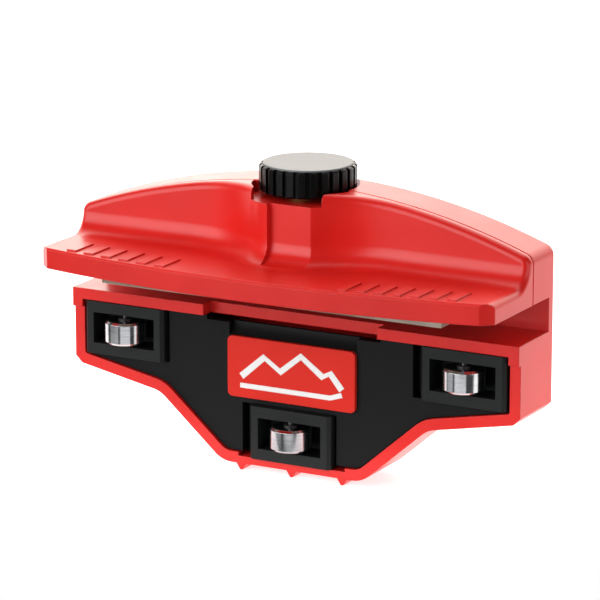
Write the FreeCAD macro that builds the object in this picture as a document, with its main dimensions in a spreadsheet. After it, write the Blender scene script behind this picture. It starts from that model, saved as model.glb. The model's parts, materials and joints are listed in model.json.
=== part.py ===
"""Pocket side edge tuning tool: a roller-guided file holder with an angle knob.

Frame: X along the tool, -Y to the front (the ledge that the thumbs press), +Z up, in millimetres.
The origin is at the middle of the footprint, on the plane that the three bottom ribs stand on.
At rest the file is square to the roller plane (90 degrees).
"""
import FreeCAD
import Part
import math
import os
import Sketcher

Vector = FreeCAD.Vector
doc = FreeCAD.newDocument("edge_tuning_tool")

# ---------------------------------------------------------------------------------------------
# Driving dimensions
# ---------------------------------------------------------------------------------------------
DIMENSIONS = {
    # housing, along X
    "half_length": 53.1,
    "corner_cut": 2.4,
    # housing, along Y
    "nose_front": -19.0,
    "ledge_front": -13.7,
    "tray_front": 1.2,
    "wing_front": 4.1,
    "seam_y": 6.55,
    "rear_inside": 14.4,
    "rear_face": 16.6,
    "rear_chamfer": 0.3,
    # housing, along Z
    "lobe_floor": 1.4,
    "wing_floor": 14.7,
    "end_floor": 18.5,
    "tray_top": 35.45,
    "ledge_under": 42.8,
    "ledge_top": 47.2,
    "seat_floor": 59.8,
    "arch_top": 62.7,
    "arch_radius": 148.5,
    "arch_end_round": 2.4,
    "wall": 2.4,
    # dome and knob seat
    "knob_y": 8.7,
    "collar_radius": 12.6,
    "collar_blend": 30.0,
    "seat_radius": 11.9,
    "rear_seat_radius": 10.9,
    "foot_fillet": 4.5,
    "brow_fillet": 1.5,
    "channel_left": 3.1,
    "channel_right": 7.0,
    "channel_deep": 1.75,
    "channel_sweep": 4.0,
    "gate_half": 8.3,
    "grip_start": 21.4,
    "grip_end": 44.6,
    "grip_margin": 1.3,
    "grip_length": 7.0,
    "grip_height": 0.35,
    # lower lobe
    "lobe_half": 16.8,
    "wing_half": 32.0,
    "lobe_round": 6.0,
    "rim": 2.4,
    "bar_front": 0.3,
    "cap_low": 31.3,
    "notch_half": 20.7,
    "notch_deep": 2.4,
    "rib_pitch": 12.1,
    "rib_half": 1.3,
    "seam_chamfer": 0.25,
    # guide plate and its roller cages
    "plate_front": 1.9,
    "plate_back": 4.6,
    "plate_gap": 0.15,
    "plate_notch_z": 31.9,
    "cage_x": 40.4,
    "cage_half": 9.7,
    "cage_half_height": 5.9,
    "cage_front": 0.2,
    "cage_back": 9.9,
    "slot_left": 2.4,
    "slot_right": 0.7,
    "slot_outer": 1.4,
    "flange_hold": 0.5,
    "side_roller_z": 27.1,
    "mid_roller_z": 8.9,
    "window_half": 7.5,
    "window_half_height": 3.4,
    "roller_y": 1.04,
    "roller_radius": 4.5,
    "roller_half_height": 2.45,
    "axle_radius": 0.6,
    "bush_radius": 1.5,
    # badge
    "badge_half": 15.2,
    "badge_low": 16.1,
    "badge_high": 29.3,
    "badge_front": 1.0,
    # file and its carrier
    "pivot_y": -2.76,
    "pivot_z": 44.2,
    "file_half": 40.0,
    "file_front": -8.95,
    "file_back": 3.05,
    "file_under": 39.85,
    "file_top": 42.05,
    "carrier_half": 43.6,
    "carrier_front": -9.3,
    "carrier_back": 5.2,
    "carrier_top": 43.45,
    "bay_half": 44.2,
    "bay_front": -9.9,
    "bay_roof": 46.1,
    "pin_radius": 0.9,
    "lug_top": 45.6,
    # knob and spindle
    "knob_low": 60.9,
    "knob_high": 66.6,
    "knob_radius": 10.3,
    "flute_depth": 0.75,
    "flute_half": 0.5,
    "cap_radius": 9.5,
    "spindle_radius": 2.5,
    "spindle_low": 41.9,
    "nut_z": 44.2,
    "spring_x": 16.0,
    "spring_y": 9.3,
    "spring_seat": 52.0,
}


class Size:
    """A number that remembers the spreadsheet expression it comes from."""

    def __init__(self, value, text):
        self.value = value
        self.text = text

    def __add__(self, other):
        other = as_size(other)
        return Size(self.value + other.value, f"({self.text} + {other.text})")

    def __sub__(self, other):
        other = as_size(other)
        return Size(self.value - other.value, f"({self.text} - {other.text})")

    def __mul__(self, factor):
        return Size(self.value * factor, f"({self.text} * {factor})")

    def __truediv__(self, divisor):
        return Size(self.value / divisor, f"({self.text} / {divisor})")

    def __neg__(self):
        return Size(-self.value, f"(0 - {self.text})")


def as_size(number):
    return number if isinstance(number, Size) else Size(float(number), f"({float(number)})")


def write_sheet():
    """Puts the driving dimensions in a spreadsheet and gives them back as sizes by name."""
    sheet = doc.addObject("Spreadsheet::Sheet", "Dimensions")
    sizes = {}
    for row, (name, value) in enumerate(DIMENSIONS.items(), start=1):
        sheet.set(f"A{row}", name)
        sheet.set(f"B{row}", str(value))
        sheet.setAlias(f"B{row}", name)
        sizes[name] = Size(value, f"Dimensions.{name}")
    doc.recompute()
    return sizes


D = write_sheet()
NODES = []


# ---------------------------------------------------------------------------------------------
# Small helpers over PartDesign, Sketcher and Part
# ---------------------------------------------------------------------------------------------
def bind(obj, path, size):
    obj.setExpression(path, as_size(size).text)


def keep(obj, name):
    obj.Label = name
    NODES.append(obj)
    return obj


def new_body(name):
    return keep(doc.addObject("PartDesign::Body", name), name)


def place(obj, x=0.0, y=0.0, z=0.0, rotation=None):
    """Places a finished sub-part; each coordinate may be a size."""
    at = [as_size(value) for value in (x, y, z)]
    obj.Placement = FreeCAD.Placement(Vector(*[c.value for c in at]), rotation or FreeCAD.Rotation())
    for axis, coordinate in zip("xyz", at):
        bind(obj, f"Placement.Base.{axis}", coordinate)


def new_sketch(body, plane, offset=0.0):
    """A sketch on one of the body's own planes; XZ sketches look along +Y, so their normal is -Y."""
    sketch = body.newObject("Sketcher::SketchObject", "sketch")
    support = [f for f in body.Origin.OriginFeatures if f.Role == plane][0]
    sketch.AttachmentSupport = (support, [""])
    sketch.MapMode = "FlatFace"
    shift = as_size(offset)
    if plane == "XZ_Plane":
        shift = -shift
    sketch.AttachmentOffset = FreeCAD.Placement(Vector(0, 0, shift.value), FreeCAD.Rotation())
    bind(sketch, "AttachmentOffset.Base.z", shift)
    return sketch


def pin_point(sketch, edge, end, u, v):
    """Holds one end of a sketch edge at (u, v) measured from the sketch's origin."""
    for kind, coordinate in (("DistanceX", u), ("DistanceY", v)):
        index = sketch.addConstraint(Sketcher.Constraint(kind, -1, 1, edge, end, coordinate.value))
        sketch.setExpression(f"Constraints[{index}]", coordinate.text)


def outline(sketch, corners):
    """Closed outline through corners (u, v), or (u, v, radius, side) where an arc leads to that corner.

    side is +1 when the arc's centre lies to the left of the way there, and -1 when to the right.
    """
    points = [(as_size(c[0]), as_size(c[1])) for c in corners]
    first = sketch.GeometryCount
    for number, corner in enumerate(corners):
        a, b = points[number - 1], points[number]
        start = Vector(a[0].value, a[1].value, 0)
        end = Vector(b[0].value, b[1].value, 0)
        if len(corner) == 2:
            sketch.addGeometry(Part.LineSegment(start, end), False)
            continue
        radius, side = as_size(corner[2]), corner[3]
        chord = end - start
        middle = (start + end) * 0.5
        normal = Vector(-chord.y, chord.x, 0).normalize()
        rise = math.sqrt(max(radius.value ** 2 - (chord.Length / 2) ** 2, 0.0))
        centre = middle + normal * (rise * side)
        through = centre - normal * (radius.value * side)
        sketch.addGeometry(Part.Arc(start, through, end), False)
    count = len(corners)
    for number, corner in enumerate(corners):
        edge, following = first + number, first + (number + 1) % count
        left_turn = len(corner) == 2 or corner[3] > 0
        next_corner = corners[(number + 1) % count]
        next_left = len(next_corner) == 2 or next_corner[3] > 0
        end = 2 if left_turn else 1
        next_start = 1 if next_left else 2
        sketch.addConstraint(Sketcher.Constraint("Coincident", edge, end, following, next_start))
        pin_point(sketch, edge, end, *points[number])
        if len(corner) > 2:
            index = sketch.addConstraint(Sketcher.Constraint("Radius", edge, as_size(corner[2]).value))
            sketch.setExpression(f"Constraints[{index}]", as_size(corner[2]).text)


def mirrored(corners):
    """Corners on the +X side, top to bottom, followed by the same corners on the -X side."""
    return corners + [(-as_size(u), v) for u, v in reversed(corners)]


def ways_at(corners, number):
    """Unit directions of the outline on its way into and out of a corner."""
    here, before, after = (
        Vector(*(as_size(c).value for c in corners[i % len(corners)][:2]), 0)
        for i in (number, number - 1, number + 1)
    )
    return (here - before).normalize(), (after - here).normalize()


def moved_inwards(corners, inset):
    """Corners of a clockwise outline, moved so that every side comes in by the inset."""
    moved = []
    for number, (u, v) in enumerate(corners):
        way_in, way_out = ways_at(corners, number)
        normal_in = Vector(way_in.y, -way_in.x, 0)
        normal_out = Vector(way_out.y, -way_out.x, 0)
        slide = (normal_in + normal_out) * (1 / (1 + normal_in.dot(normal_out)))
        moved.append((u + inset * slide.x, v + inset * slide.y))
    return moved


def soften(corners, radii):
    """Replaces each corner that has a radius, by its number, with a tangent arc."""
    softened = []
    for number, (u, v) in enumerate(corners):
        if number not in radii:
            softened.append((u, v))
            continue
        way_in, way_out = ways_at(corners, number)
        tangent = radii[number] * math.tan(way_in.getAngle(way_out) / 2)
        side = 1 if way_in.cross(way_out).z > 0 else -1
        softened.append((u - tangent * way_in.x, v - tangent * way_in.y))
        softened.append((u + tangent * way_out.x, v + tangent * way_out.y, radii[number], side))
    return softened


def rectangle(sketch, u0, v0, u1, v1):
    outline(sketch, [(u1, v0), (u1, v1), (u0, v1), (u0, v0)])


def circle(sketch, u, v, radius):
    u, v, radius = as_size(u), as_size(v), as_size(radius)
    centre = Vector(u.value, v.value, 0)
    edge = sketch.addGeometry(Part.Circle(centre, Vector(0, 0, 1), radius.value), False)
    pin_point(sketch, edge, 3, u, v)
    index = sketch.addConstraint(Sketcher.Constraint("Radius", edge, radius.value))
    sketch.setExpression(f"Constraints[{index}]", radius.text)


def volume_of(body):
    return body.Shape.Volume if body.Shape and not body.Shape.isNull() else 0.0


def feature(body, kind, sketch, length, reverse=False, both=False):
    """Pads or pockets a sketch by a length and makes sure that material was really added or removed."""
    before = volume_of(body)
    made = body.newObject(f"PartDesign::{kind}", kind.lower())
    made.Profile = sketch
    bind(made, "Length", length)
    made.Reversed = reverse
    if both:
        made.SideType = "Symmetric"
    doc.recompute()
    change = volume_of(body) - before
    if (change <= 1e-6) if kind == "Pad" else (change >= -1e-6):
        raise RuntimeError(f"{body.Label}: a {kind} changed the volume by {change:.4f}")
    return made


def pad(body, sketch, length, **how):
    return feature(body, "Pad", sketch, length, **how)


def pocket(body, sketch, length, **how):
    return feature(body, "Pocket", sketch, length, **how)


def edges_where(body, test):
    """Names of the tip's edges whose middle point, direction and length pass a test."""
    names = []
    for number, edge in enumerate(body.Tip.Shape.Edges, start=1):
        middle = edge.valueAt((edge.FirstParameter + edge.LastParameter) / 2)
        if test(edge, middle):
            names.append(f"Edge{number}")
    return names


def dress(body, kind, test, size):
    """Fillets or chamfers the edges that pass a test."""
    names = edges_where(body, test)
    if not names:
        raise RuntimeError(f"{body.Label}: no edge found for a {kind}")
    made = body.newObject(f"PartDesign::{kind}", kind.lower())
    made.Base = (body.Tip if body.Tip != made else made.BaseFeature, names)
    bind(made, "Radius" if kind == "Fillet" else "Size", size)
    doc.recompute()
    if "Invalid" in made.State or "Error" in made.State or not made.Shape.isValid():
        raise RuntimeError(f"{body.Label}: {kind} failed on {names}")
    return made


def along(edge, axis):
    """True when a straight edge runs along an axis."""
    if not isinstance(edge.Curve, Part.Line):
        return False
    return abs(abs(edge.Curve.Direction.dot(axis)) - 1) < 1e-6


def near(value, target, tolerance=0.05):
    return abs(value - target) < tolerance


def turned(name, profile, x=0.0, y=0.0, z=0.0, rotation=None):
    """A round piece: a closed profile of (radius, height) corners revolved about its own Z axis."""
    body = new_body(name)
    sketch = new_sketch(body, "XZ_Plane")
    outline(sketch, profile)
    turn = body.newObject("PartDesign::Revolution", "revolution")
    turn.Profile = sketch
    turn.ReferenceAxis = (sketch, ["V_Axis"])
    turn.Angle = 360
    doc.recompute()
    place(body, x, y, z, rotation)
    return body


TO_FRONT = FreeCAD.Rotation(Vector(1, 0, 0), 90)
TO_RIGHT = FreeCAD.Rotation(Vector(0, 1, 0), 90)
SIDES = (("left", -1), ("right", 1))


# ---------------------------------------------------------------------------------------------
# Housing: rear frame and front shell
# ---------------------------------------------------------------------------------------------
def arch_height(x, inset=0.0):
    """Height of the arch, or of the arch inset by a wall, at a distance x from the middle."""
    radius = DIMENSIONS["arch_radius"] - inset
    drop = radius - math.sqrt(radius ** 2 - x ** 2)
    return D["arch_top"] - (inset + drop)


def arch_outline(sketch, half, floor, inset):
    """Region under the arch between -half and +half, down to a floor."""
    radius = D["arch_radius"] - inset
    shoulder = arch_height(half.value, as_size(inset).value)
    outline(sketch, [(half, shoulder), (-half, shoulder, radius, 1), (-half, floor), (half, floor)])


def tray_outline(sketch, inset=0.0):
    """The lower body's outline, moved inwards by an inset: square ends, sloping wings and a lobe."""
    inset = as_size(inset)
    corners = mirrored([
        (D["half_length"], D["tray_top"]),
        (D["half_length"], D["end_floor"] + 1.5),
        (D["half_length"] - 1.6, D["end_floor"]),
        (D["wing_half"], D["wing_floor"]),
        (D["lobe_half"], D["lobe_floor"]),
    ])
    wing, foot = D["lobe_round"] + inset, D["lobe_round"] - inset
    outline(sketch, soften(moved_inwards(corners, inset), {3: wing, 4: foot, 5: foot, 6: wing}))


def at_seam(edge, middle):
    """True on the outer edges where the two shells meet: over the arch and down both ends."""
    if not near(middle.y, D["seam_y"].value) or middle.z < D["ledge_under"].value + 0.1:
        return False
    shoulder = abs(middle.x) > D["half_length"].value - D["arch_end_round"].value
    return shoulder or near(middle.z, arch_height(middle.x).value)


def shell_screw_places():
    """Where the four screws join the two shells, as (x, z)."""
    return [(side * x, z) for side in (-1, 1) for x, z in ((45.5, 49.4), (24.0, 55.2))]


PLATE_SCREWS = [(-24.0, 27.0), (24.0, 27.0), (-15.6, 9.5), (15.6, 9.5)]


def make_rear_frame():
    """C-shaped red moulding: rear half of the dome, rear wall and the lower tray, all in one piece."""
    body = new_body("rear_frame")
    # lower tray, full depth
    sketch = new_sketch(body, "XZ_Plane", D["rear_face"])
    tray_outline(sketch)
    pad(body, sketch, D["rear_face"] - D["tray_front"])
    # rear wall between tray and dome
    sketch = new_sketch(body, "XZ_Plane", D["rear_face"])
    rectangle(sketch, -D["half_length"], D["tray_top"] - 3.0, D["half_length"], D["ledge_under"] + 1.0)
    pad(body, sketch, D["rear_face"] - D["rear_inside"])
    # rear half of the dome
    sketch = new_sketch(body, "XZ_Plane", D["rear_face"])
    arch_outline(sketch, D["half_length"], D["ledge_under"], 0.0)
    pad(body, sketch, D["rear_face"] - D["seam_y"])
    dress(body, "Fillet", at_shoulder, D["arch_end_round"])

    def rear_rim(edge, middle):
        return near(middle.y, D["rear_face"].value)

    dress(body, "Chamfer", rear_rim, D["rear_chamfer"])
    dress(body, "Chamfer", at_seam, D["seam_chamfer"])
    # hollow of the dome's rear half
    sketch = new_sketch(body, "XZ_Plane", D["seam_y"])
    arch_outline(sketch, D["half_length"] - D["wall"], D["ledge_under"] + 2.2, D["wall"])
    pocket(body, sketch, D["rear_inside"] - D["seam_y"])
    # file bay opens the dome's floor
    sketch = new_sketch(body, "XY_Plane", D["bay_roof"])
    rectangle(sketch, -D["bay_half"], D["seam_y"] - 0.5, D["bay_half"], D["rear_inside"])
    pocket(body, sketch, D["bay_roof"] - D["ledge_under"])
    # hollow of the tray
    sketch = new_sketch(body, "XZ_Plane", D["tray_front"])
    tray_outline(sketch, D["rim"])
    pocket(body, sketch, D["rear_inside"] - D["tray_front"])
    # the centre cage's bed in the lobe's floor
    sketch = new_sketch(body, "XZ_Plane", D["tray_front"])
    bed_half = D["cage_half"] + D["slot_left"] + D["flange_hold"] + 0.2
    bed = D["mid_roller_z"] - D["cage_half_height"]
    rectangle(sketch, -bed_half, bed, bed_half, D["lobe_floor"] + D["rim"] + 0.5)
    pocket(body, sketch, D["cage_back"] + 0.2 - D["tray_front"])
    # the top rim and its end caps stand a little forward
    sketch = new_sketch(body, "XZ_Plane", D["tray_front"])
    inner_x, inner_z = D["half_length"] - D["rim"], D["tray_top"] - D["rim"]
    outline(sketch, mirrored([
        (D["half_length"], D["tray_top"]),
        (D["half_length"], D["cap_low"]),
        (inner_x, D["cap_low"]),
        (inner_x, inner_z),
    ]))
    pad(body, sketch, D["tray_front"] - D["bar_front"])
    # notch in the top rim
    sketch = new_sketch(body, "XZ_Plane", D["bar_front"])
    rectangle(sketch, -D["notch_half"], inner_z - 0.2, D["notch_half"], D["tray_top"] + 1)
    pocket(body, sketch, D["notch_deep"] + D["tray_front"] - D["bar_front"])
    # floor under the knob's seat, the seat itself and the bore for the spindle bush
    sketch = new_sketch(body, "XY_Plane", D["seat_floor"] - D["wall"])
    floor_half = D["seat_radius"] + 1.6
    rectangle(sketch, -floor_half, D["seam_y"], floor_half, D["rear_inside"])
    pad(body, sketch, D["wall"] + 0.6)
    sketch = new_sketch(body, "XY_Plane", D["arch_top"] + 1.0)
    circle(sketch, 0, D["knob_y"], D["rear_seat_radius"])
    pocket(body, sketch, D["arch_top"] + 1.0 - D["seat_floor"])
    add_spindle_block(body, D["seam_y"], D["rear_inside"])
    # ledges that the return springs push against
    sketch = new_sketch(body, "XY_Plane", D["spring_seat"])
    for side in (-1, 1):
        x = D["spring_x"] * side
        rectangle(sketch, x - 2.6, D["seam_y"], x + 2.6, D["rear_inside"])
    pad(body, sketch, 1.8)
    # three ribs under the lobe, one cutter's width each
    sketch = new_sketch(body, "XZ_Plane", D["rear_face"] - 0.6)
    for x in (-D["rib_pitch"], as_size(0.0), D["rib_pitch"]):
        root, tip = D["lobe_floor"] + 0.2, as_size(0.0)
        half = D["rib_half"]
        outline(sketch, [(x + half, root), (x - half, root), (x - 0.25, tip), (x + 0.25, tip)])
    pad(body, sketch, D["rear_face"] - 0.6 - D["tray_front"])
    # screw holes with their countersinks
    drill_rear(body, shell_screw_places() + PLATE_SCREWS, 1.1, 2.2)
    return body


def add_spindle_block(body, front, back):
    """Block under the seat that holds half of the spindle bush, with its bore and flange recess."""
    sketch = new_sketch(body, "XY_Plane", D["seat_floor"] - D["wall"])
    rectangle(sketch, -7.6, front, 7.6, back)
    pad(body, sketch, 3.0, reverse=True)
    sketch = new_sketch(body, "XY_Plane", D["seat_floor"])
    circle(sketch, 0, D["knob_y"], 3.5)
    pocket(body, sketch, 8.0)


def drill_rear(body, places, hole, head):
    """Screw holes through the rear wall, each with a countersink in the outer face."""
    sketch = new_sketch(body, "XZ_Plane", D["rear_face"])
    for x, z in places:
        circle(sketch, x, z, hole)
    pocket(body, sketch, D["rear_face"] - D["rear_inside"] + 0.5, reverse=True)
    sketch = new_sketch(body, "XZ_Plane", D["rear_face"])
    for x, z in places:
        circle(sketch, x, z, head)
    pocket(body, sketch, 1.3, reverse=True)


def ledge_edge(x):
    """Where the ledge's bowed front edge is, at a distance x from the middle."""
    chord = DIMENSIONS["half_length"] - DIMENSIONS["corner_cut"]
    bow = DIMENSIONS["ledge_front"] - DIMENSIONS["nose_front"]
    return D["ledge_front"] - bow * (1 - (x / chord) ** 2)


def at_shoulder(edge, middle):
    """True on the edges along Y where the arch meets the housing's ends."""
    on_end = near(abs(middle.x), D["half_length"].value)
    return on_end and along(edge, Vector(0, 1, 0)) and near(middle.z, arch_height(middle.x).value)


def make_front_shell():
    """Red front moulding: thumb ledge with grip ribs, dome front with the knob's collar, file bay."""
    body = new_body("front_shell")
    top = D["arch_top"] + 2.0
    # front half of the dome, under the arch
    sketch = new_sketch(body, "XZ_Plane", D["seam_y"])
    arch_outline(sketch, D["half_length"], D["ledge_under"], 0.0)
    pad(body, sketch, D["seam_y"] - D["knob_y"] + D["collar_radius"] + 1.0)
    dress(body, "Fillet", at_shoulder, D["arch_end_round"])
    # plan of the dome: straight wings, a collar round the knob, and a blend between them
    reach = D["collar_radius"].value + D["collar_blend"].value
    step = D["knob_y"].value - D["wing_front"].value + D["collar_blend"].value
    blend_x = math.sqrt(reach ** 2 - step ** 2)
    share = D["collar_radius"].value / reach
    touch_x = blend_x * share
    touch_y = D["knob_y"].value - step * share
    side = D["half_length"] + 2.0
    front = D["nose_front"] - 3.0
    sketch = new_sketch(body, "XY_Plane", top)
    outline(sketch, [
        (-side, front),
        (side, front),
        (side, D["wing_front"]),
        (blend_x, D["wing_front"]),
        (touch_x, touch_y, D["collar_blend"], 1),
        (-touch_x, touch_y, D["collar_radius"], -1),
        (-blend_x, D["wing_front"], D["collar_blend"], 1),
        (-side, D["wing_front"]),
    ])
    pocket(body, sketch, top - D["ledge_top"] + 5.0)
    # thumb ledge with a bowed front and cut corners
    half, cut = D["half_length"], D["corner_cut"]
    bow = D["ledge_front"].value - D["nose_front"].value
    chord = half.value - cut.value
    bow_radius = (chord ** 2 + bow ** 2) / (2 * bow)
    sketch = new_sketch(body, "XY_Plane", D["ledge_under"])
    outline(sketch, [
        (-half, D["ledge_front"] + cut),
        (-half + cut, D["ledge_front"]),
        (half - cut, D["ledge_front"], bow_radius, 1),
        (half, D["ledge_front"] + cut),
        (half, D["seam_y"]),
        (-half, D["seam_y"]),
    ])
    pad(body, sketch, D["ledge_top"] - D["ledge_under"])

    def ledge_rim(edge, middle):
        return near(middle.z, D["ledge_top"].value) and middle.y < D["ledge_front"].value + 0.5

    dress(body, "Chamfer", ledge_rim, 0.35)

    def dome_foot(edge, middle):
        straight_out = near(middle.z, D["ledge_top"].value) and abs(middle.x) < half.value - 0.1
        return straight_out and -2.5 < middle.y < D["wing_front"].value + 0.1

    dress(body, "Fillet", dome_foot, D["foot_fillet"])

    def dome_brow(edge, middle):
        inside = abs(middle.x) < half.value - 0.1 and middle.y < D["wing_front"].value + 0.1
        return inside and middle.z > D["ledge_top"].value + 5.2 and not along(edge, Vector(0, 0, 1))

    dress(body, "Fillet", dome_brow, D["brow_fillet"])
    dress(body, "Chamfer", at_seam, D["seam_chamfer"])
    # seat of the knob
    sketch = new_sketch(body, "XY_Plane", top)
    circle(sketch, 0, D["knob_y"], D["seat_radius"])
    pocket(body, sketch, top - D["seat_floor"])
    # the collar is open in front of the knob
    sketch = new_sketch(body, "XY_Plane", top)
    rectangle(sketch, -D["gate_half"], front, D["gate_half"], D["knob_y"] - 2.0)
    pocket(body, sketch, top - D["seat_floor"])
    # flat down the front of the collar: a step on its left, running out into the collar on its right
    nose = D["knob_y"] - D["collar_radius"]
    floor_y = nose + D["channel_deep"]
    foot, sweep = D["ledge_top"] + 0.3, D["channel_sweep"]
    sketch = new_sketch(body, "YZ_Plane", -D["channel_left"])
    outline(sketch, [
        (nose - 3.5, D["seat_floor"] + 1.0),
        (nose - 3.5, foot),
        (floor_y - sweep, foot),
        (floor_y, foot + sweep, sweep, 1),
        (floor_y, D["seat_floor"] + 1.0),
    ])
    pocket(body, sketch, D["channel_left"] + D["channel_right"], reverse=True)
    # bay for the file carrier, open below and to the rear
    sketch = new_sketch(body, "XY_Plane", D["bay_roof"])
    rectangle(sketch, -D["bay_half"], D["bay_front"], D["bay_half"], D["seam_y"] + 1.0)
    pocket(body, sketch, D["bay_roof"] - D["ledge_under"] + 1.0)
    # the carrier's rear edge rises as it tilts, so the bay is taller under the dome
    sketch = new_sketch(body, "XY_Plane", D["ledge_top"])
    rectangle(sketch, -D["bay_half"], D["wing_front"] + 0.4, D["bay_half"], D["seam_y"] + 1.0)
    pocket(body, sketch, D["ledge_top"] - D["bay_roof"] + 0.5)
    # cavity behind the collar for the spindle and its nut
    sketch = new_sketch(body, "XY_Plane", D["seat_floor"] - D["wall"])
    rectangle(sketch, -7.6, 0.3, 7.6, D["seam_y"] + 1.0)
    pocket(body, sketch, D["seat_floor"] - D["wall"] - D["bay_roof"] + 0.5)
    add_spindle_block(body, 0.3, D["seam_y"])
    # pivot pin bores in the solid ends of the ledge
    sketch = new_sketch(body, "YZ_Plane")
    circle(sketch, D["pivot_y"], D["pivot_z"], D["pin_radius"])
    pocket(body, sketch, (D["bay_half"] + 4.0) * 2, both=True)
    # screw bosses that reach the rear wall
    sketch = new_sketch(body, "XZ_Plane", D["rear_inside"])
    for x, z in shell_screw_places():
        circle(sketch, x, z, 2.6)
    pad(body, sketch, D["rear_inside"] - D["seam_y"] + 0.4)
    sketch = new_sketch(body, "XZ_Plane", D["rear_inside"])
    for x, z in shell_screw_places():
        circle(sketch, x, z, 1.1)
    pocket(body, sketch, 7.4, reverse=True)
    add_grip_ribs(body)
    return body


def add_grip_ribs(body):
    """Two rows of raised pads on the ledge, for the thumbs; they follow its bowed front edge."""
    sketch = new_sketch(body, "XY_Plane", D["ledge_top"] - 0.2)
    start, end = D["grip_start"].value, D["grip_end"].value
    for side, count in ((-1, 6), (1, 7)):
        pitch = (end - start) / (count - 1)
        for number in range(count):
            x = side * (start + pitch * number)
            front = ledge_edge(x) + D["grip_margin"]
            rectangle(sketch, x - pitch / 4, front, x + pitch / 4, front + D["grip_length"])
    pad(body, sketch, D["grip_height"] + 0.2)


# ---------------------------------------------------------------------------------------------
# Guide plate, roller cages, rollers
# ---------------------------------------------------------------------------------------------
# each cage: name, place along X and Z, and the slot's room on its left and right
CAGES = (
    ("left", -D["cage_x"], D["side_roller_z"], D["slot_outer"], D["slot_right"]),
    ("centre", as_size(0.0), D["mid_roller_z"], D["slot_left"], D["slot_right"]),
    ("right", D["cage_x"], D["side_roller_z"], D["slot_left"], D["slot_outer"]),
)


def make_guide_plate():
    """Black plate that fills the tray's mouth: slots for the cages, scoop over the badge, bosses behind."""
    body = new_body("guide_plate")
    inset = D["rim"] + D["plate_gap"]
    sketch = new_sketch(body, "XZ_Plane", D["plate_back"])
    tray_outline(sketch, inset)
    pad(body, sketch, D["plate_back"] - D["plate_front"])
    # lower top edge below the tray's notch
    sketch = new_sketch(body, "XZ_Plane", D["plate_front"])
    rectangle(sketch, -D["notch_half"], D["plate_notch_z"], D["notch_half"], D["tray_top"])
    pocket(body, sketch, D["plate_back"] - D["plate_front"])
    # slots for the cages
    sketch = new_sketch(body, "XZ_Plane", D["plate_front"])
    half, tall = D["cage_half"], D["cage_half_height"]
    for name, x, z, room_left, room_right in CAGES:
        rectangle(sketch, x - half - room_left, z - tall, x + half + room_right, z + tall)
    pocket(body, sketch, D["plate_back"] - D["plate_front"])
    # scooped recess above the badge
    sketch = new_sketch(body, "YZ_Plane")
    outline(sketch, [
        (D["plate_front"] - 0.5, D["badge_high"]),
        (D["plate_front"] + 0.3, D["badge_high"]),
        (D["plate_back"] - 0.6, D["tray_top"] - 3.4, 4.5, 1),
        (D["plate_back"] - 0.6, D["tray_top"]),
        (D["plate_front"] - 0.5, D["tray_top"]),
    ])
    pocket(body, sketch, D["badge_half"] * 2, both=True)
    # bosses to the tray's rear wall, with pilot holes
    sketch = new_sketch(body, "XZ_Plane", D["rear_inside"])
    for x, z in PLATE_SCREWS:
        circle(sketch, x, z, 2.6)
    pad(body, sketch, D["rear_inside"] - D["plate_back"] + 0.4)
    sketch = new_sketch(body, "XZ_Plane", D["rear_inside"])
    for x, z in PLATE_SCREWS:
        circle(sketch, x, z, 1.1)
    pocket(body, sketch, 8.0, reverse=True)
    return body


def make_cage(name, room_left, room_right):
    """Black block with a window for one roller and a bored seat for its axle, in its own frame.

    Its flange reaches past the slot's inner sides, and stays flush where the slot ends at the tray's wall.
    """
    body = new_body(f"roller_cage_{name}")
    half, tall = D["cage_half"], D["cage_half_height"] - 0.1
    front = D["cage_front"] - D["roller_y"]
    back = D["cage_back"] - D["roller_y"]
    sketch = new_sketch(body, "XZ_Plane", back)
    rectangle(sketch, -half, -tall, half, tall)
    pad(body, sketch, back - front)

    def upright_front(edge, middle):
        return near(middle.y, front.value) and along(edge, Vector(0, 0, 1))

    dress(body, "Chamfer", upright_front, 0.7)
    # flange behind the guide plate that stops the cage coming out forwards
    reach_left = as_size(0.0) if name == "left" else room_left + D["flange_hold"]
    reach_right = as_size(0.0) if name == "right" else room_right + D["flange_hold"]
    sketch = new_sketch(body, "XZ_Plane", D["plate_back"] + 1.8 - D["roller_y"])
    rectangle(sketch, -half - reach_left, -tall, half + reach_right, tall)
    pad(body, sketch, 1.7)
    # window
    sketch = new_sketch(body, "XZ_Plane", front)
    rectangle(sketch, -D["window_half"], -D["window_half_height"], D["window_half"], D["window_half_height"])
    pocket(body, sketch, D["roller_y"] + D["roller_radius"] + 0.5 - D["cage_front"])
    # axle bore, top to bottom
    sketch = new_sketch(body, "XY_Plane", tall)
    circle(sketch, 0, 0, D["axle_radius"])
    pocket(body, sketch, tall * 2)
    return body


def make_roller(name):
    """Steel roller ring with chamfered ends, in its own frame."""
    r, h, bore = D["roller_radius"], D["roller_half_height"], D["bush_radius"]
    chamfer = 0.45
    profile = [
        (bore, -h), (r - chamfer, -h), (r, -h + chamfer), (r, h - chamfer), (r - chamfer, h), (bore, h),
    ]
    return turned(f"roller_{name}", profile)


def make_bush(name):
    """Plain bearing bush pressed in the roller; its ends stand proud as thrust faces."""
    outer, bore = D["bush_radius"], D["axle_radius"] + 0.04
    h = D["roller_half_height"] + 0.35
    return turned(f"roller_bush_{name}", [(bore, -h), (outer, -h), (outer, h), (bore, h)])


def make_axle(name):
    """Steel axle pin pressed in the cage."""
    r, h = D["axle_radius"], D["cage_half_height"] - 0.3
    return turned(f"roller_axle_{name}", [
        (as_size(0.0), -h), (r - 0.2, -h), (r, -h + 0.2), (r, h - 0.2), (r - 0.2, h), (as_size(0.0), h),
    ])


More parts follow.
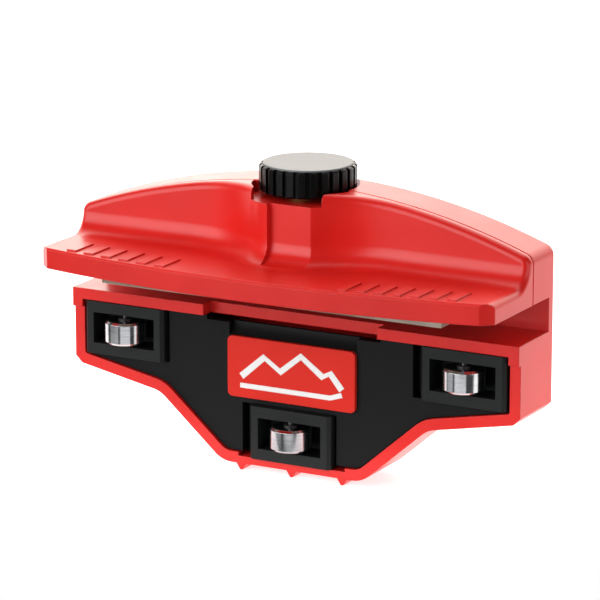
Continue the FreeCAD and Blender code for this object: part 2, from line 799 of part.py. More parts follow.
def make_badge():
    """Rounded plate on the front of the guide plate."""
    body = new_body("badge")
    sketch = new_sketch(body, "XZ_Plane", D["plate_front"])
    rectangle(sketch, -D["badge_half"], D["badge_low"], D["badge_half"], D["badge_high"])
    pad(body, sketch, D["plate_front"] - D["badge_front"])
    dress(body, "Fillet", lambda edge, middle: along(edge, Vector(0, 1, 0)), 1.1)
    return body


# ---------------------------------------------------------------------------------------------
# File, carrier and tilting mechanism
# ---------------------------------------------------------------------------------------------
def make_file():
    """Flat single-cut file blank."""
    body = new_body("file")
    sketch = new_sketch(body, "XY_Plane", D["file_under"])
    rectangle(sketch, -D["file_half"], D["file_front"], D["file_half"], D["file_back"])
    pad(body, sketch, D["file_top"] - D["file_under"])
    dress(body, "Chamfer", lambda edge, middle: near(middle.z, D["file_under"].value), 0.15)
    return body


MAGNETS = (-28.0, 0.0, 28.0)


def make_file_carrier():
    """Die-cast carrier: plate over the file, rear lip, end lugs for the pivot pins, yoke for the nut."""
    body = new_body("file_carrier")
    sketch = new_sketch(body, "XY_Plane", D["file_top"])
    rectangle(sketch, -D["carrier_half"], D["carrier_front"], D["carrier_half"], D["carrier_back"])
    pad(body, sketch, D["carrier_top"] - D["file_top"])
    # tail that carries the return springs
    sketch = new_sketch(body, "XY_Plane", D["file_top"])
    tail = D["spring_x"] + 3.0
    rectangle(sketch, -tail, D["carrier_back"] - 0.5, tail, D["spring_y"] + 2.2)
    pad(body, sketch, D["carrier_top"] - D["file_top"])
    # lip behind the file and stops at its ends
    sketch = new_sketch(body, "XY_Plane", D["file_under"] + 1.4)
    rectangle(sketch, -D["file_half"] - 0.1, D["file_back"] + 0.1, D["file_half"] + 0.1, D["carrier_back"])
    for side in (-1, 1):
        inner = (D["file_half"] + 0.1) * side
        outer = D["carrier_half"] * side
        rectangle(sketch, min(inner, outer, key=lambda s: s.value), D["carrier_front"],
                  max(inner, outer, key=lambda s: s.value), D["file_back"] - 1.0)
    pad(body, sketch, D["file_top"] - D["file_under"] - 1.3)
    # lugs over the ends, for the pivot pins
    sketch = new_sketch(body, "XY_Plane", D["file_top"])
    for side in (-1, 1):
        inner = (D["carrier_half"] - 3.6) * side
        outer = D["carrier_half"] * side
        rectangle(sketch, min(inner, outer, key=lambda s: s.value), D["pivot_y"] - 2.2,
                  max(inner, outer, key=lambda s: s.value), D["pivot_y"] + 2.2)
    pad(body, sketch, D["lug_top"] - D["file_top"])
    # yoke: two cheeks either side of the nut
    for side in (-1, 1):
        near_x, far_x = 4.8 * side, 7.0 * side
        sketch = new_sketch(body, "YZ_Plane", min(near_x, far_x))
        y, z = D["knob_y"], D["nut_z"]
        outline(sketch, [
            (D["carrier_back"] - 1.0, z + 0.3), (D["carrier_back"] - 1.0, z - 2.1),
            (y, z - 2.3), (y, z + 2.3, 2.3, 1),
        ])
        pad(body, sketch, 2.2)
    sketch = new_sketch(body, "YZ_Plane")
    circle(sketch, D["knob_y"], D["nut_z"], 1.55)
    pocket(body, sketch, 20.0, both=True)
    # clearance for the nut between the cheeks
    sketch = new_sketch(body, "XY_Plane", D["carrier_top"] + 1.0)
    rectangle(sketch, -4.8, D["knob_y"] - 3.9, 4.8, D["knob_y"] + 4.0)
    pocket(body, sketch, 6.0)
    # blind bores for the pivot pins
    sketch = new_sketch(body, "YZ_Plane", D["carrier_half"])
    circle(sketch, D["pivot_y"], D["pivot_z"], D["pin_radius"] + 0.04)
    pocket(body, sketch, 3.2)
    sketch = new_sketch(body, "YZ_Plane", -D["carrier_half"])
    circle(sketch, D["pivot_y"], D["pivot_z"], D["pin_radius"] + 0.04)
    pocket(body, sketch, 3.2, reverse=True)
    # pockets for the magnets
    sketch = new_sketch(body, "XY_Plane", D["file_top"])
    for x in MAGNETS:
        circle(sketch, x, D["pivot_y"] - 0.3, 3.0)
    pocket(body, sketch, 0.8, reverse=True)
    return body


def make_file_magnets():
    """Three disc magnets in one node, glued in the carrier; they hold the file."""
    discs = []
    for number, x in enumerate(MAGNETS):
        disc = doc.addObject("Part::Cylinder", f"magnet_{number}")
        disc.Radius = 2.95
        disc.Height = 0.75
        disc.Placement = FreeCAD.Placement(
            Vector(x, DIMENSIONS["pivot_y"] - 0.3, DIMENSIONS["file_top"]), FreeCAD.Rotation())
        bind(disc, "Placement.Base.y", D["pivot_y"] - 0.3)
        bind(disc, "Placement.Base.z", D["file_top"])
        discs.append(disc)
    group = doc.addObject("Part::Compound", "file_magnets")
    group.Links = discs
    return keep(group, "file_magnets")


def make_pivot_pin(name, side):
    """Steel pin pressed in the ledge's solid end; the carrier turns on its inner end."""
    length = 6.4
    start = D["carrier_half"] - 3.0
    profile = [(as_size(0.0), as_size(0.0)), (D["pin_radius"], as_size(0.0)),
               (D["pin_radius"], as_size(length)), (as_size(0.0), as_size(length))]
    x = start if side > 0 else -start - length
    return turned(f"pivot_pin_{name}", profile, x, D["pivot_y"], D["pivot_z"], TO_RIGHT)


def make_trunnion_nut():
    """Brass nut with trunnions: the spindle's thread lifts it, and the carrier's yoke hangs on it."""
    body = new_body("trunnion_nut")
    sketch = new_sketch(body, "XY_Plane", D["nut_z"] - 2.3)
    rectangle(sketch, -4.5, D["knob_y"] - 3.4, 4.5, D["knob_y"] + 3.4)
    pad(body, sketch, 4.6)
    dress(body, "Chamfer", lambda edge, middle: along(edge, Vector(0, 0, 1)), 0.5)
    sketch = new_sketch(body, "YZ_Plane")
    circle(sketch, D["knob_y"], D["nut_z"], 1.5)
    pad(body, sketch, 13.6, both=True)
    sketch = new_sketch(body, "XY_Plane", D["nut_z"] + 2.3)
    circle(sketch, 0, D["knob_y"], D["spindle_radius"] + 0.1)
    pocket(body, sketch, 6.0)
    return body


# ---------------------------------------------------------------------------------------------
# Knob, spindle and its bush
# ---------------------------------------------------------------------------------------------
def make_knob():
    """Fluted knob with a recess on top for the dial disc and a bore for the spindle's head."""
    body = new_body("knob")
    low, high, r = D["knob_low"], D["knob_high"], D["knob_radius"]
    rim = 0.35
    axis, boss, cap = as_size(0.0), as_size(3.4), D["cap_radius"]
    sketch = new_sketch(body, "XZ_Plane")
    outline(sketch, [
        (axis, low + 1.8), (boss, low + 1.8), (boss, low), (r - 0.5, low), (r, low + 0.5),
        (r, high - rim), (r - rim, high), (cap, high), (cap, high - 0.8), (axis, high - 0.8),
    ])
    turn = body.newObject("PartDesign::Revolution", "revolution")
    turn.Profile = sketch
    turn.ReferenceAxis = (sketch, ["V_Axis"])
    turn.Angle = 360
    doc.recompute()
    # one flute, then the ring of them
    sketch = new_sketch(body, "XY_Plane", high)
    rectangle(sketch, -D["flute_half"], -r - 1.0, D["flute_half"], -r + D["flute_depth"])
    flute = pocket(body, sketch, high - low)
    ring = body.newObject("PartDesign::PolarPattern", "flutes")
    ring.Originals = [flute]
    ring.Axis = (body.Origin.OriginFeatures[2], [""])
    ring.Angle = 360
    ring.Occurrences = 26
    body.Tip = ring
    doc.recompute()
    # bore that the spindle's head is pressed in
    sketch = new_sketch(body, "XY_Plane", low + 1.8)
    circle(sketch, 0, 0, D["spindle_radius"])
    pocket(body, sketch, 2.2, reverse=True)
    place(body, 0, D["knob_y"], 0)
    return body


def make_dial_disc():
    """Light disc pressed in the knob's top, a little proud of it."""
    r, z = D["cap_radius"] - 0.02, D["knob_high"] - 0.8
    return turned("dial_disc", [
        (as_size(0.0), z), (r, z), (r, z + 0.95), (r - 0.15, z + 1.1), (as_size(0.0), z + 1.1),
    ], 0, D["knob_y"], 0)


def make_spindle():
    """Steel spindle: head in the knob, a collar under the bush's groove, thread in the nut."""
    r = D["spindle_radius"]
    neck = r - 0.5
    groove = D["seat_floor"] - 5.6
    return turned("spindle", [
        (as_size(0.0), D["spindle_low"]), (r - 0.6, D["spindle_low"]), (r, D["spindle_low"] + 0.6),
        (r, groove - 0.7), (neck, groove - 0.7), (neck, groove), (r, groove),
        (r, D["knob_low"] + 4.0), (as_size(0.0), D["knob_low"] + 4.0),
    ], 0, D["knob_y"], 0)


def make_spindle_clip():
    """Retaining ring in the spindle's groove, under the bush."""
    body = new_body("spindle_clip")
    z = D["seat_floor"] - 6.25
    sketch = new_sketch(body, "XY_Plane", z)
    circle(sketch, 0, 0, 3.6)
    pad(body, sketch, 0.6)
    sketch = new_sketch(body, "XY_Plane", z + 0.6)
    circle(sketch, 0, 0, D["spindle_radius"] - 0.5)
    pocket(body, sketch, 0.6)
    sketch = new_sketch(body, "XY_Plane", z + 0.6)
    rectangle(sketch, -1.2, 0.5, 1.2, 5.0)
    pocket(body, sketch, 0.6)
    place(body, 0, D["knob_y"], 0)
    return body


def make_spindle_bush():
    """Flanged brass bush clamped between the two shells; the spindle turns in it."""
    r = D["spindle_radius"] + 0.05
    top, low = D["seat_floor"], D["seat_floor"] - 5.55
    barrel, flange = as_size(3.5), as_size(5.0)
    return turned("spindle_bush", [
        (r, low), (barrel, low), (barrel, top), (flange, top), (flange, top + 0.8), (r, top + 0.8),
    ], 0, D["knob_y"], 0)


def make_return_spring(name, side):
    """Compression spring between the dome's roof and the carrier, which takes up the thread's play."""
    wire, radius, turns = 0.25, 1.6, 6
    low = DIMENSIONS["carrier_top"] + wire
    high = DIMENSIONS["spring_seat"] - wire
    helix = doc.addObject("Part::Helix", f"spring_path_{name}")
    helix.Radius = radius
    helix.Height = high - low
    helix.Pitch = (high - low) / turns
    section = doc.addObject("Part::Circle", f"spring_section_{name}")
    section.Radius = wire
    section.Placement = FreeCAD.Placement(Vector(radius, 0, 0), FreeCAD.Rotation(Vector(1, 0, 0), 90))
    sweep = doc.addObject("Part::Sweep", f"return_spring_{name}")
    sweep.Sections = [section]
    sweep.Spine = (helix, ["Edge1"])
    sweep.Solid = True
    sweep.Frenet = True
    doc.recompute()
    place(sweep, D["spring_x"] * side, D["spring_y"], low)
    return keep(sweep, f"return_spring_{name}")


def make_screws(name, places, length):
    """Countersunk screws in one node, driven from the rear."""
    screws = []
    for number, (x, z) in enumerate(places):
        shank = doc.addObject("Part::Cylinder", f"{name}_shank_{number}")
        shank.Radius = 1.05
        shank.Height = length
        head = doc.addObject("Part::Cone", f"{name}_head_{number}")
        head.Radius1 = 2.0
        head.Radius2 = 1.05
        head.Height = 1.1
        socket = doc.addObject("Part::Prism", f"{name}_socket_{number}")
        socket.Polygon = 6
        socket.Circumradius = 0.85
        socket.Height = 0.8
        joined = doc.addObject("Part::Fuse", f"{name}_solid_{number}")
        joined.Base = shank
        joined.Tool = head
        screw = doc.addObject("Part::Cut", f"{name}_{number}")
        screw.Base = joined
        screw.Tool = socket
        screw.Placement = FreeCAD.Placement(Vector(x, DIMENSIONS["rear_face"] - 0.15, z), TO_FRONT)
        bind(screw, "Placement.Base.y", D["rear_face"] - 0.15)
        screws.append(screw)
    group = doc.addObject("Part::Compound", name)
    group.Links = screws
    return keep(group, name)


# ---------------------------------------------------------------------------------------------
# Assembly and export
# ---------------------------------------------------------------------------------------------
def build():
    make_rear_frame()
    make_front_shell()
    make_guide_plate()
    make_badge()
    for name, x, z, room_left, room_right in CAGES:
        pieces = (make_cage(name, room_left, room_right), make_roller(name), make_bush(name), make_axle(name))
        for piece in pieces:
            place(piece, x, D["roller_y"], z)
    make_file()
    make_file_carrier()
    make_file_magnets()
    make_trunnion_nut()
    for name, side in SIDES:
        make_pivot_pin(name, side)
        make_return_spring(name, side)
    make_knob()
    make_dial_disc()
    make_spindle()
    make_spindle_clip()
    make_spindle_bush()
    make_screws("shell_screws", shell_screw_places(), 7.5)
    make_screws("guide_plate_screws", PLATE_SCREWS, 7.5)


def check_and_export():
    doc.recompute()
    for obj in doc.Objects:
        if "Invalid" in obj.State or "Error" in obj.State:
            raise RuntimeError(f"{obj.Label} is {obj.State}")
    os.makedirs("parts", exist_ok=True)
    for node in NODES:
        shape = node.Shape
        if shape.isNull() or not shape.isValid() or shape.Volume <= 0:
            raise RuntimeError(f"{node.Label} has a bad shape")
        shape.exportStep(f"parts/{node.Label}.step")
        box = shape.BoundBox
        spans = ((box.XMin, box.XMax), (box.YMin, box.YMax), (box.ZMin, box.ZMax))
        size = "  ".join(f"{low:6.1f}..{high:5.1f}" for low, high in spans)
        print(f"{node.Label:24s} solids {len(shape.Solids)} volume {shape.Volume:9.1f}  {size}")


build()
check_and_export()
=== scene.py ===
import bpy
import bmesh
import json
import math
from mathutils import Matrix, Vector


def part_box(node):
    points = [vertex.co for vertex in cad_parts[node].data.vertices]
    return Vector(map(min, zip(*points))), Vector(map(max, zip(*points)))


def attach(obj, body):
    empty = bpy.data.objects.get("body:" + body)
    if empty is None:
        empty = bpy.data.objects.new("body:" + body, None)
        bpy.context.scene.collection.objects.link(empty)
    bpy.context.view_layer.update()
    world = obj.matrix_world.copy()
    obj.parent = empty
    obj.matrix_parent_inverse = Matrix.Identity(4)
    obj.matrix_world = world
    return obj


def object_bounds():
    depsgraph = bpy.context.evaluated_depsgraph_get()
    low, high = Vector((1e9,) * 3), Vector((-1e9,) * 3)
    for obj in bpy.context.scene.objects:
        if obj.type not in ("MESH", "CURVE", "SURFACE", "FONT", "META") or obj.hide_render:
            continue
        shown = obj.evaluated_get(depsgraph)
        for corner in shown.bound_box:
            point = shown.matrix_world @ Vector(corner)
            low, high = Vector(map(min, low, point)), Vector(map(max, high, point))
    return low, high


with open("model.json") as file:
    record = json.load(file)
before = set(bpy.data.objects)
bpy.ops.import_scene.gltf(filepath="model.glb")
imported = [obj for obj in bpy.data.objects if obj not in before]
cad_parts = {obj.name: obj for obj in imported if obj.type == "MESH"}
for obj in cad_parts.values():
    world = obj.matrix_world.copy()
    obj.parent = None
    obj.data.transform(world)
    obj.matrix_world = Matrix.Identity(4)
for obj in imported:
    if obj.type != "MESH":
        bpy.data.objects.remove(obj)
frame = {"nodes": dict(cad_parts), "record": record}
cad_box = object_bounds()

MM = 0.001

# surround: the way to the bright backdrop, its light and the dim room's, and where one turns to the other
BACKDROP_WAY = (-0.35, 0.88, 0.30)
BACKDROP = (3.6, 3.3, 3.0)
ROOM = (0.08, 0.08, 0.08)
ROOM_ENDS = 0.76
BACKDROP_STARTS = 0.92

# table, in metres: its front edge in y, and half its size
TABLE_EDGE = -0.021
TABLE_REACH = 6.0

# softboxes, in metres and watts: name, place, width, height, power
LIGHT_TARGET = (0, 0, 0.035)
LIGHTS = [
    ("top_light", (-0.05, 0.15, 0.8), 0.7, 0.5, 1.5),
    ("front_light", (-0.42, -0.80, 0.30), 1.1, 0.8, 10.0),
    ("right_light", (0.8, -0.22, 0.22), 0.35, 0.5, 1.2),
    # low cards before the table, for the bright bands in the rollers; they light the lower rim too
    ("roller_card", (0.046, -0.143, -0.02), 0.17, 0.03, 0.018),
    ("left_card", (-0.11, -0.11, -0.02), 0.12, 0.03, 0.007),
]

# camera, in metres, millimetres of lens and degrees
CAMERA_PLACE = (0.36054, -0.65975, 0.2302)
CAMERA_LENS = 223.05
CAMERA_ROUND = 28.47
CAMERA_DOWN = 14.27

# groove between the red shells and the dark strip of painted shade laid in it, in millimetres, and the
# steps its corner and its arch are drawn in
ARCH_RADIUS = 148.5
ARCH_SEAM = 6.55
ARCH_RISE = 0.14
ARCH_OVERLAP = 0.6
SEAT_HALF = 11.9
GROOVE_CORNER = 2.4
GROOVE_SUNK = 0.2
GROOVE_HALF = 0.16
GROOVE_THICK = 0.1
CORNER_DEGREES = 72
CORNER_STEPS = 6
ARCH_STEPS = 24

# badge print: widths and thickness in millimetres, points in halves of the badge's width and height
RIDGE_WIDTH = 1.5
SKI_WIDTH = 1.1
INK_THICK = 0.04
RIDGE = [
    (-0.78, -0.30), (-0.42, 0.42), (-0.16, 0.02), (0.16, 0.62), (0.50, 0.05), (0.62, 0.20), (0.80, -0.30),
]
SKI_EDGE = [(-0.80, -0.60), (0.62, -0.60), (0.80, -0.46)]


# --------------------------------------------------------------------------------------------
# Materials: each is a function that gives a node material with the detail of the real surface
# --------------------------------------------------------------------------------------------
class Shader:
    """A material's node tree with a Principled shader, and short calls to add nodes to it."""

    def __init__(self, name, **constants):
        self.material = bpy.data.materials.new(name)
        self.material.use_nodes = True
        self.tree = self.material.node_tree
        self.shader = self.tree.nodes["Principled BSDF"]
        for socket, value in constants.items():
            self.shader.inputs[socket.replace("_", " ")].default_value = value
        self.place = self.add("ShaderNodeTexCoord").outputs["Object"]

    def add(self, kind, **settings):
        node = self.tree.nodes.new(kind)
        for name, value in settings.items():
            setattr(node, name, value)
        return node

    def link(self, source, target):
        self.tree.links.new(source, target)

    def noise(self, scale, detail=4.0, roughness=0.5, stretch=(1, 1, 1)):
        """Noise in the object's own space; scale is in features per metre."""
        mapping = self.add("ShaderNodeMapping")
        mapping.inputs["Scale"].default_value = stretch
        self.link(self.place, mapping.inputs["Vector"])
        texture = self.add("ShaderNodeTexNoise")
        texture.inputs["Scale"].default_value = scale
        texture.inputs["Detail"].default_value = detail
        texture.inputs["Roughness"].default_value = roughness
        self.link(mapping.outputs["Vector"], texture.inputs["Vector"])
        return texture.outputs["Fac"]

    def ramp(self, value, stops):
        """Colour ramp over a value; stops are (position, colour)."""
        node = self.add("ShaderNodeValToRGB")
        elements = node.color_ramp.elements
        while len(elements) < len(stops):
            elements.new(0.5)
        for element, (position, colour) in zip(elements, stops):
            element.position = position
            element.color = (*colour, 1)
        self.link(value, node.inputs["Fac"])
        return node.outputs["Color"]

    def to_range(self, value, low, high):
        node = self.add("ShaderNodeMapRange")
        node.inputs["To Min"].default_value = low
        node.inputs["To Max"].default_value = high
        self.link(value, node.inputs["Value"])
        return node.outputs["Result"]

    def colour(self, value):
        self.link(value, self.shader.inputs["Base Color"])

    def roughness(self, value, low, high):
        self.link(self.to_range(value, low, high), self.shader.inputs["Roughness"])

    def soften_edges(self, radius):
        """Rounds the shading of sharp edges, as a real moulded or broken edge is."""
        node = self.add("ShaderNodeBevel", samples=4)
        node.inputs["Radius"].default_value = radius
        self.link(node.outputs["Normal"], self.shader.inputs["Normal"])

    def bump(self, height, strength, distance):
        node = self.add("ShaderNodeBump")
        node.inputs["Strength"].default_value = strength
        node.inputs["Distance"].default_value = distance
        previous = self.shader.inputs["Normal"].links
        if previous:
            self.link(previous[0].from_socket, node.inputs["Normal"])
        self.link(height, node.inputs["Height"])
        self.link(node.outputs["Normal"], self.shader.inputs["Normal"])


def shade(colour, factor):
    return tuple(min(channel * factor, 1.0) for channel in colour)


def moulded(name, colour, rough=0.3, grain=2600, depth=0.012, spread=0.08, gloss=0.35):
    """Injection-moulded plastic: fine spark-eroded grain, faint flow clouding and uneven gloss.

    grain is in features per metre, depth in millimetres, spread is the clouding's share of the colour,
    and gloss is the specular level.
    """
    m = Shader(name, Specular_IOR_Level=gloss)
    m.soften_edges(0.25 * MM)
    cloud = m.noise(38, 3)
    m.colour(m.ramp(cloud, [(0.3, shade(colour, 1 - spread)), (0.7, shade(colour, 1 + spread))]))
    m.roughness(m.noise(150, 5), rough - 0.05, rough + 0.07)
    m.bump(m.noise(grain, 3, 0.6), 0.35, depth * MM)
    m.bump(m.noise(60, 2), 0.12, 0.1 * MM)
    return m.material


def metal(name, colour, rough=0.25, lines=(1, 1, 1), line_scale=900, depth=0.01):
    """Machined metal: tool lines along one direction, smudges in the gloss.

    lines stretches the noise on each axis, line_scale is in features per metre, depth in millimetres.
    """
    m = Shader(name, Metallic=1.0)
    m.soften_edges(0.1 * MM)
    cut = m.noise(line_scale, 3, 0.6, lines)
    m.colour(m.ramp(cut, [(0.25, shade(colour, 0.82)), (0.75, shade(colour, 1.1))]))
    m.roughness(m.noise(120, 4), rough - 0.06, rough + 0.1)
    m.bump(cut, 0.4, depth * MM)
    return m.material


def file_steel():
    """File blank: brownish oxide stains in the colour and diagonal teeth in the bump."""
    m = Shader("file_steel", Metallic=1.0)
    waves = m.add("ShaderNodeTexWave", wave_type="BANDS", bands_direction="DIAGONAL", wave_profile="SAW")
    waves.inputs["Scale"].default_value = 230
    waves.inputs["Distortion"].default_value = 0.4
    m.link(m.place, waves.inputs["Vector"])
    stain = m.noise(90, 5)
    m.colour(m.ramp(stain, [(0.3, (0.16, 0.12, 0.085)), (0.7, (0.42, 0.37, 0.31))]))
    m.roughness(stain, 0.32, 0.5)
    m.bump(waves.outputs["Fac"], 0.5, 0.12 * MM)
    return m.material


# a finish for each material slot of the CAD; moulded() and metal() say what the numbers are
MATERIALS = {
    "red_gloss": lambda: moulded("red_gloss", (0.72, 0.014, 0.010), 0.3, gloss=0.42),
    "charcoal_plastic": lambda: moulded(
        "charcoal_plastic", (0.006, 0.0065, 0.007), 0.5, 1800, 0.03, 0.12, 0.12),
    "cage_plastic": lambda: moulded("cage_plastic", (0.012, 0.014, 0.014), 0.4, 2200, 0.02, 0.1, 0.18),
    "badge_red": lambda: moulded("badge_red", (0.66, 0.022, 0.012), 0.35, 2600, 0.008, 0.05, 0.2),
    "roller_steel": lambda: metal("roller_steel", (0.52, 0.53, 0.55), 0.14, (1, 1, 14), 260, 0.003),
    "bush_plastic": lambda: moulded("bush_plastic", (0.02, 0.02, 0.02), 0.45),
    "pin_steel": lambda: metal("pin_steel", (0.10, 0.10, 0.11), 0.3, (1, 1, 20), 300),
    "file_steel": file_steel,
    "carrier_alloy": lambda: metal("carrier_alloy", (0.30, 0.31, 0.32), 0.45, (1, 1, 1), 1400, 0.03),
    "magnet_nickel": lambda: metal("magnet_nickel", (0.7, 0.67, 0.6), 0.2, (1, 1, 1), 600),
    "nut_brass": lambda: metal("nut_brass", (0.55, 0.37, 0.13), 0.3, (1, 1, 12), 300),
    "spring_steel": lambda: metal("spring_steel", (0.4, 0.4, 0.42), 0.3, (1, 1, 1), 900),
    "knob_plastic": lambda: moulded("knob_plastic", (0.003, 0.003, 0.003), 0.25, 2400, 0.02, 0.1, 0.2),
    "dial_plastic": lambda: moulded("dial_plastic", (0.20, 0.21, 0.22), 0.45, 2600, 0.01, 0.04, 0.4),
    "spindle_steel": lambda: metal("spindle_steel", (0.42, 0.43, 0.45), 0.28, (1, 1, 22), 300),
    "bush_brass": lambda: metal("bush_brass", (0.35, 0.22, 0.08), 0.4, (1, 1, 12), 300),
    "screw_steel": lambda: metal("screw_steel", (0.09, 0.09, 0.1), 0.38, (1, 6, 1), 500),
}


def paint_nodes():
    """Gives every CAD node the finish of its material slot."""
    made = {slot: build() for slot, build in MATERIALS.items()}
    for entry in frame["record"]["subparts"]:
        node = frame["nodes"][entry["node"]]
        for slot in node.material_slots:
            slot.material = made[entry["material_slot"]]


# --------------------------------------------------------------------------------------------
# Floor, light and camera
# --------------------------------------------------------------------------------------------
def aim(obj, target):
    direction = Vector(target) - obj.location
    obj.rotation_euler = direction.to_track_quat("-Z", "Y").to_euler()


def softbox(name, place, width, height, watts):
    light = bpy.data.lights.new(name, "AREA")
    light.shape = "RECTANGLE"
    light.size = width
    light.size_y = height
    light.energy = watts
    obj = bpy.data.objects.new(name, light)
    bpy.context.collection.objects.link(obj)
    obj.location = place
    aim(obj, LIGHT_TARGET)


def table():
    """White table whose front edge is just before the tool, and which reaches far behind it."""
    mesh = bpy.data.meshes.new("floor")
    bm = bmesh.new()
    bmesh.ops.create_grid(bm, x_segments=2, y_segments=2, size=TABLE_REACH)
    bm.to_mesh(mesh)
    bm.free()
    floor = bpy.data.objects.new("floor", mesh)
    floor.location = (0, TABLE_REACH + TABLE_EDGE, cad_box[0][2])
    bpy.context.collection.objects.link(floor)
    white = (1, 1, 1, 1)
    m = Shader("floor_paper", Specular_IOR_Level=0.0, Emission_Color=white, Emission_Strength=0.7)
    m.colour(m.ramp(m.noise(3, 2), [(0.2, (0.93, 0.93, 0.93)), (0.8, (0.96, 0.96, 0.96))]))
    m.roughness(m.noise(40, 2), 0.7, 0.8)
    mesh.materials.append(m.material)


def surround():
    """White seen directly; as a light it is a bright backdrop behind the tool and a dim room before it."""
    world = bpy.data.worlds.new("surround")
    world.use_nodes = True
    nodes, links = world.node_tree.nodes, world.node_tree.links
    place = nodes.new("ShaderNodeTexCoord")
    axis = nodes.new("ShaderNodeVectorMath")
    axis.operation = "DOT_PRODUCT"
    axis.inputs[1].default_value = BACKDROP_WAY
    ramp = nodes.new("ShaderNodeValToRGB")
    ramp.color_ramp.elements[0].position = ROOM_ENDS
    ramp.color_ramp.elements[0].color = (*ROOM, 1)
    ramp.color_ramp.elements[1].position = BACKDROP_STARTS
    ramp.color_ramp.elements[1].color = (*BACKDROP, 1)
    spread = nodes.new("ShaderNodeMapRange")
    spread.inputs["From Min"].default_value = -1
    seen = nodes.new("ShaderNodeLightPath")
    mix = nodes.new("ShaderNodeMix")
    mix.data_type = "RGBA"
    mix.inputs["B"].default_value = (1, 1, 1, 1)
    links.new(place.outputs["Generated"], axis.inputs[0])
    links.new(axis.outputs["Value"], spread.inputs["Value"])
    links.new(spread.outputs["Result"], ramp.inputs["Fac"])
    links.new(seen.outputs["Is Camera Ray"], mix.inputs["Factor"])
    links.new(ramp.outputs["Color"], mix.inputs["A"])
    links.new(mix.outputs["Result"], nodes["Background"].inputs["Color"])
    return world


def studio():
    table()
    bpy.context.scene.world = surround()
    for name, place, width, height, watts in LIGHTS:
        softbox(name, place, width, height, watts)


def photo_camera():
    """Long lens from the front right, above the ledge's height."""
    data = bpy.data.cameras.new("camera")
    data.sensor_width = 36
    data.lens = CAMERA_LENS
    camera = bpy.data.objects.new("camera", data)
    camera.location = CAMERA_PLACE
    camera.rotation_euler = (math.radians(90 - CAMERA_DOWN), 0, math.radians(CAMERA_ROUND))
    data.clip_start = 0.01
    bpy.context.collection.objects.link(camera)
    bpy.context.scene.camera = camera
    bpy.context.scene.view_settings.view_transform = "Standard"


# --------------------------------------------------------------------------------------------
# Printed details
# --------------------------------------------------------------------------------------------
def printed(name, outlines, thickness, place, body, material):
    """Thin raised print: flat closed outlines (x, y) extruded by a thickness, then placed by a matrix."""
    mesh = bpy.data.meshes.new(name)
    bm = bmesh.new()
    for outline in outlines:
        bm.faces.new([bm.verts.new((x, y, 0)) for x, y in outline])
    faces = list(bm.faces)
    raised = bmesh.ops.extrude_face_region(bm, geom=faces)
    top = [v for v in raised["geom"] if isinstance(v, bmesh.types.BMVert)]
    bmesh.ops.translate(bm, vec=(0, 0, thickness), verts=top)
    bmesh.ops.recalc_face_normals(bm, faces=bm.faces)
    bm.transform(place)
    bm.to_mesh(mesh)
    bm.free()
    mesh.materials.append(material)
    obj = bpy.data.objects.new(name, mesh)
    bpy.context.collection.objects.link(obj)
    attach(obj, body)
    return obj


def band(points, width):
    """Outline of a bent band of a given width along a few points."""
    left, right = [], []
    for number, (x, y) in enumerate(points):
        before = points[max(number - 1, 0)]
        after = points[min(number + 1, len(points) - 1)]
        way = Vector((after[0] - before[0], after[1] - before[1])).normalized() * (width / 2)
        left.append((x - way.y, y + way.x))
        right.append((x + way.y, y - way.x))
    return left + right[::-1]


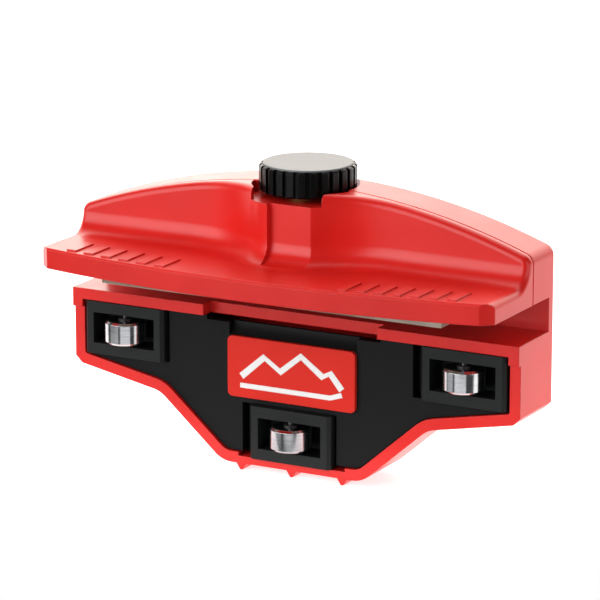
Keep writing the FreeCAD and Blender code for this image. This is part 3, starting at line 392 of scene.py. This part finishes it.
def badge_print():
    """White pictogram: a mountain ridge over a ski's edge, which means nothing but what it shows."""
    low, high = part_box("badge")
    middle = (Vector(low) + Vector(high)) / 2
    half = (high[0] - low[0]) / 2
    tall = (high[2] - low[2]) / 2
    size = Matrix.Diagonal((half, tall, 1, 1))
    ridge = [(size @ Vector((x, y, 0)))[:2] for x, y in RIDGE]
    ski_edge = [(size @ Vector((x, y, 0)))[:2] for x, y in SKI_EDGE]
    stand = Matrix.Translation((middle.x, low[1], middle.z)) @ Matrix.Rotation(math.radians(90), 4, "X")
    ink = moulded("badge_ink", (0.85, 0.85, 0.84), 0.35, 2600, 0.006, 0.03)
    outlines = [band(ridge, RIDGE_WIDTH * MM), band(ski_edge, SKI_WIDTH * MM)]
    print_obj = printed("badge_print", outlines, INK_THICK * MM, stand, "housing", ink)


def groove_points():
    """Course of the groove on the right half, as (x, z): up the end, round the corner, along the arch."""
    low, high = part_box("front_shell")
    half, top, foot = high[0], high[2], low[2]
    radius, round_off, sunk = ARCH_RADIUS * MM, GROOVE_CORNER * MM, GROOVE_SUNK * MM

    def arch(x):
        return top + ARCH_RISE * MM - (radius - math.sqrt(radius ** 2 - x ** 2))

    side = half - sunk
    corner = half - round_off
    points = [(side, foot), (side, arch(corner) - round_off)]
    centre_x = side - round_off
    centre_z = arch(corner) - round_off - sunk
    for step in range(1, CORNER_STEPS):
        turn = math.radians(CORNER_DEGREES) * step / CORNER_STEPS
        points.append((centre_x + round_off * math.cos(turn), centre_z + round_off * math.sin(turn)))
    start = corner - ARCH_OVERLAP * MM
    stop = SEAT_HALF * MM
    for step in range(ARCH_STEPS + 1):
        x = start + (stop - start) * step / ARCH_STEPS
        points.append((x, arch(x) - sunk))
    return points


def painted_seam_shade(material):
    """Painted shade: a dark strip laid in the groove where the two red shells meet, over the arch and down
    both ends, for the shadow in the narrow gap.
    """
    points = groove_points()
    seam = ARCH_SEAM * MM
    for sign, end in ((1, "right"), (-1, "left")):
        bm = bmesh.new()
        rows = []
        for x, z in points:
            rows.append([bm.verts.new((sign * x, seam + y * MM, z)) for y in (-GROOVE_HALF, GROOVE_HALF)])
        for before, after in zip(rows, rows[1:]):
            bm.faces.new((before[0], before[1], after[1], after[0]))
        bmesh.ops.solidify(bm, geom=list(bm.faces), thickness=GROOVE_THICK * MM)
        bmesh.ops.recalc_face_normals(bm, faces=bm.faces)
        mesh = bpy.data.meshes.new(f"painted_seam_shade_{end}")
        bm.to_mesh(mesh)
        bm.free()
        mesh.materials.append(material)
        line = bpy.data.objects.new(f"painted_seam_shade_{end}", mesh)
        bpy.context.collection.objects.link(line)
        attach(line, "housing")


paint_nodes()
# painted shade: a dark red strip in the groove between the shells stands in for the shadow there
painted_seam_shade(moulded("seam_shadow", (0.10, 0.004, 0.003), 0.6, gloss=0.0))
badge_print()
studio()
photo_camera()
